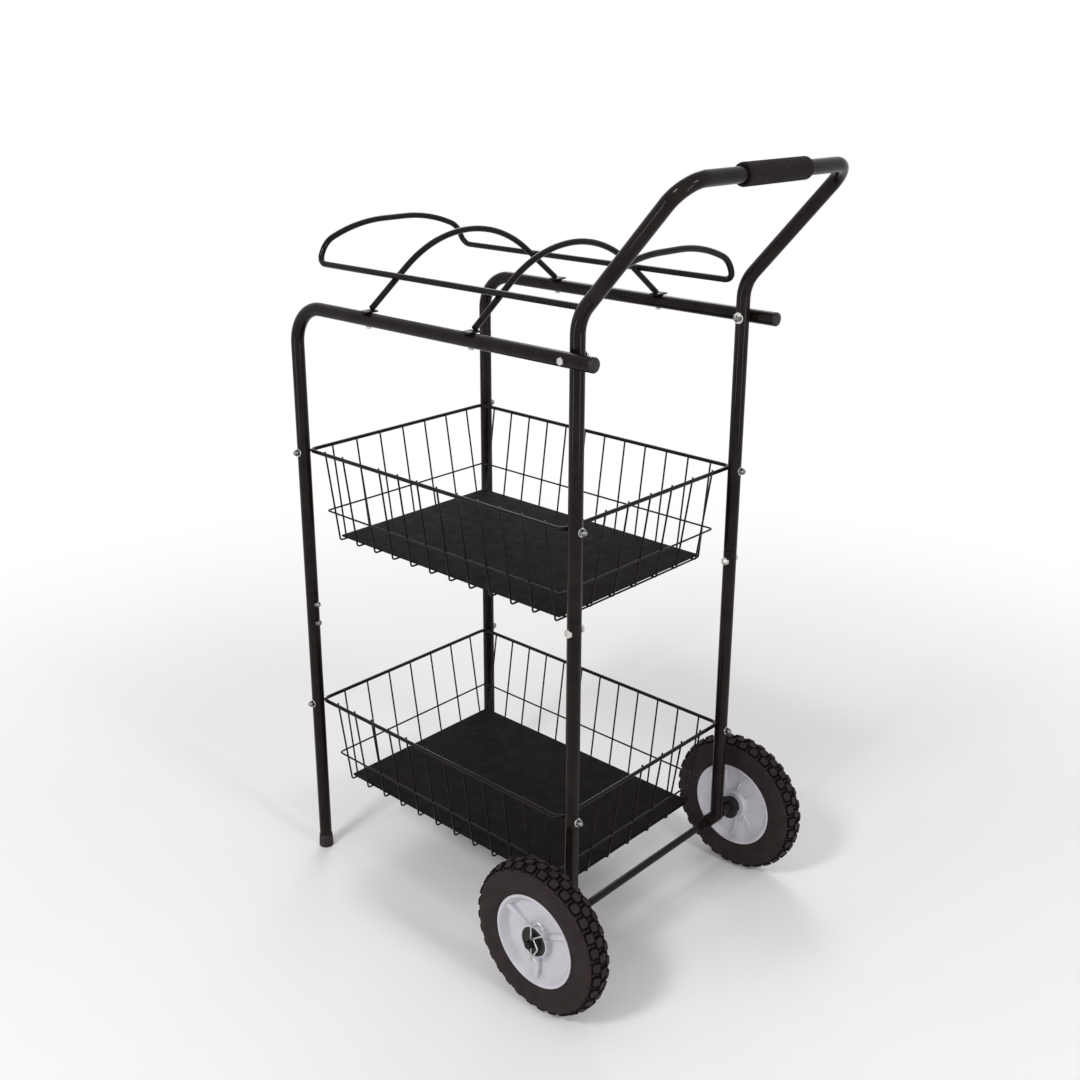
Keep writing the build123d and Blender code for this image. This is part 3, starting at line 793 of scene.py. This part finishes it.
# where each head or stud starts, the way it points, and what it clamps
def boltSeats():
    tube = 2 * cart["tubeR"]
    rod, corner = bolt["rodSeat"], bolt["cornerSeat"]
    uprightX, legX = cart["uprightX"], cart["legX"]
    seats = {"rail": [], "upright": [], "leg": [], "basket": []}
    for s in (-1, 1):
        railY, uprightY = s * cart["railY"], s * cart["uprightY"]
        railOut, uprightOut = (s * (cart[place] + cart["tubeR"]) for place in ("railY", "uprightY"))
        seats["rail"].append(((uprightX, railOut, cart["railZ"]), (0, -s, 0), 2 * tube))
        seats["upright"].append(((uprightX, uprightOut, bolt["uprightZ"]), (0, -s, 0), tube))
        for z in bolt["legZ"]:
            seats["leg"].append(((legX - cart["tubeR"], railY, z), (1, 0, 0), tube))
        for z in basket["rims"].values():
            seats["basket"].append(((uprightX - cart["tubeR"] - rod, uprightY, z), (1, 0, 0), rod + tube))
            inner = s * (cart["railY"] - cart["tubeR"] - corner)
            seats["basket"].append(((legX, inner, z), (0, s, 0), corner + tube))
    return seats


for kind, seats in boltSeats().items():
    pad = bolt["washerT"] if kind in bolt["washerR"] else 0
    bolts, nuts, plates = [], [], []
    for place, toward, grip in seats:
        spot = spotAt(place, toward)
        name, reach = kind + "Bolt", grip + pad
        if kind == "basket":
            shank = studPiece(name, reach)  # welded to the rim, without a head
        else:
            shank = boltPiece(name, reach, kind)
        bolts.append(moved(shank, spot))
        nuts.append(moved(capNut(kind + "Nut", reach, kind), spot))
        if pad:
            boreR, outerR = bolt["shankR"] + bolt["washerPlay"], bolt["washerR"][kind]
            plate = slidOn(kind + "Washer", boreR, outerR, grip, pad, bolt["washerEase"])
            plates.append(moved(plate, spot))
    dressed(joined(kind + "Bolts", bolts), "zinc", "frame", kind + "_bolts")
    # the upright nuts keep the bright zinc; the other nuts take the darker copy with painted reflection
    nutFinish = "zinc" if kind == "upright" else "nutPaintedReflection"
    dressed(joined(kind + "Nuts", nuts), nutFinish, "frame", kind + "_nuts")
    if pad:
        dressed(joined(kind + "Washers", plates), "zinc", "frame", kind + "_washers")
screws = []
screwEnd = 2 * cart["tubeR"] + rack["footT"]
for x in ribPlaces:
    for s in (-1, 1):
        head = hexPiece("rackScrew", screw["across"], -screw["headH"], 0, screw["ease"])
        shankRings = [(screw["shankR"], -screw["overlap"]), (screw["shankR"], screwEnd)]
        shank = turnedPiece("rackScrew", shankRings, bolt["shankFacets"])
        underRail = Matrix.Translation((x, s * cart["railY"], cart["railZ"] - cart["tubeR"]))
        screws.append(moved(joined("rackScrew", [head, shank]), underRail))
dressed(joined("rackScrews", screws), "zinc", "frame", "rack_screws")
print("fasteners done")

# floor, light and camera
stage = {
    "floorHalf": 14.0, "floorColour": (0.93, 0.925, 0.915), "floorShade": 0.985, "floorGrain": 3.0,
    "shadeBelow": 0.2, "plainAbove": 0.8, "floorRough": 0.8, "floorSpecular": 0.1,
    "fadeFrom": 0.7, "fadeTo": 2.3, "fillStrength": 0.5, "lampAim": (0, 0, 0.6),
}
lamps = [
    {"name": "keyLight", "place": (0.2, -3.4, 3.6), "size": (0.8, 0.8), "power": 70},
    {"name": "fillLight", "place": (3.6, -0.2, 2.7), "size": (0.7, 0.7), "power": 30},
    {"name": "backLight", "place": (-2.6, 2.6, 3.4), "size": (1.8, 1.8), "power": 44},
    {"name": "leftStrip", "place": (-0.6, -3.0, 0.7), "size": (0.25, 1.4), "power": 14},
    {"name": "rightStrip", "place": (3.0, -0.4, 0.7), "size": (0.25, 1.4), "power": 14},
]
shot = {
    "place": (1.36278, -1.52030, 1.42433), "forward": (-0.63889, 0.69930, -0.32062),
    "right": (0.73735, 0.67550, 0.00401), "sensor": 36.0, "lens": 43.50, "shift": (-0.0050, -0.0407),
}


# 1 where the eye, a shiny surface or glass looks, else 0
def lookedAt(nodes, links):
    path = nodes.new("ShaderNodeLightPath").outputs
    shiny = stepped(nodes, links, "MAXIMUM", path["Is Glossy Ray"], path["Is Transmission Ray"])
    return stepped(nodes, links, "MAXIMUM", path["Is Camera Ray"], shiny)


deselectAll()
bpy.ops.mesh.primitive_plane_add(size=2 * stage["floorHalf"])
floor = bpy.context.view_layer.objects.active
floor.name = "floor"
floorFinish, nodes, links, shader, place = newFinish("floorFinish")
shader.inputs["Roughness"].default_value = stage["floorRough"]
shader.inputs["Specular IOR Level"].default_value = stage["floorSpecular"]
shade = tuple(stage["floorShade"] * c for c in stage["floorColour"])
floorColour = ramped(nodes, links, grain(nodes, links, place, stage["floorGrain"]),
                     (stage["shadeBelow"], shade), (stage["plainAbove"], stage["floorColour"]))
links.new(floorColour, shader.inputs["Base Color"])
distance = nodes.new("ShaderNodeVectorMath")  # the floor fades into the white surround
distance.operation = "LENGTH"
links.new(place, distance.inputs[0])
fade = nodes.new("ShaderNodeMapRange")
fade.interpolation_type = "SMOOTHSTEP"
fade.inputs["From Min"].default_value = stage["fadeFrom"]
fade.inputs["From Max"].default_value = stage["fadeTo"]
links.new(distance.outputs["Value"], fade.inputs["Value"])
surround, blend = nodes.new("ShaderNodeEmission"), nodes.new("ShaderNodeMixShader")
whiteness = stepped(nodes, links, "MULTIPLY", fade.outputs["Result"], lookedAt(nodes, links))
links.new(whiteness, blend.inputs["Fac"])
links.new(shader.outputs["BSDF"], blend.inputs[1])
links.new(surround.outputs["Emission"], blend.inputs[2])
links.new(blend.outputs["Shader"], nodes["Material Output"].inputs["Surface"])
floor.data.materials.append(floorFinish)

world = bpy.data.worlds.new("studio")
world.use_nodes = True
nodes, links = world.node_tree.nodes, world.node_tree.links
nodes["Background"].inputs["Color"].default_value = (1, 1, 1, 1)
extra = stepped(nodes, links, "MULTIPLY", lookedAt(nodes, links), 1 - stage["fillStrength"])
links.new(stepped(nodes, links, "ADD", extra, stage["fillStrength"]), nodes["Background"].inputs["Strength"])
bpy.context.scene.world = world
for lamp in lamps:
    light = bpy.data.lights.new(lamp["name"], "AREA")
    light.shape, light.energy = "RECTANGLE", lamp["power"]
    light.size, light.size_y = lamp["size"]
    holder = bpy.data.objects.new(lamp["name"], light)
    holder.location = lamp["place"]
    aim = Vector(stage["lampAim"]) - Vector(lamp["place"])
    holder.rotation_euler = aim.to_track_quat("-Z", "Y").to_euler()
    bpy.context.scene.collection.objects.link(holder)

lens = bpy.data.cameras.new("camera")
lens.sensor_width, lens.lens = shot["sensor"], shot["lens"]
lens.shift_x, lens.shift_y = shot["shift"]
camera = bpy.data.objects.new("camera", lens)
bpy.context.scene.collection.objects.link(camera)
back = -Vector(shot["forward"]).normalized()
right = Vector(shot["right"]).normalized()
turned = Matrix((right, back.cross(right), back)).transposed().to_4x4()
camera.matrix_world = Matrix.Translation(shot["place"]) @ turned
bpy.context.scene.camera = camera
bpy.context.scene.view_settings.view_transform = "Standard"
print("stage done")
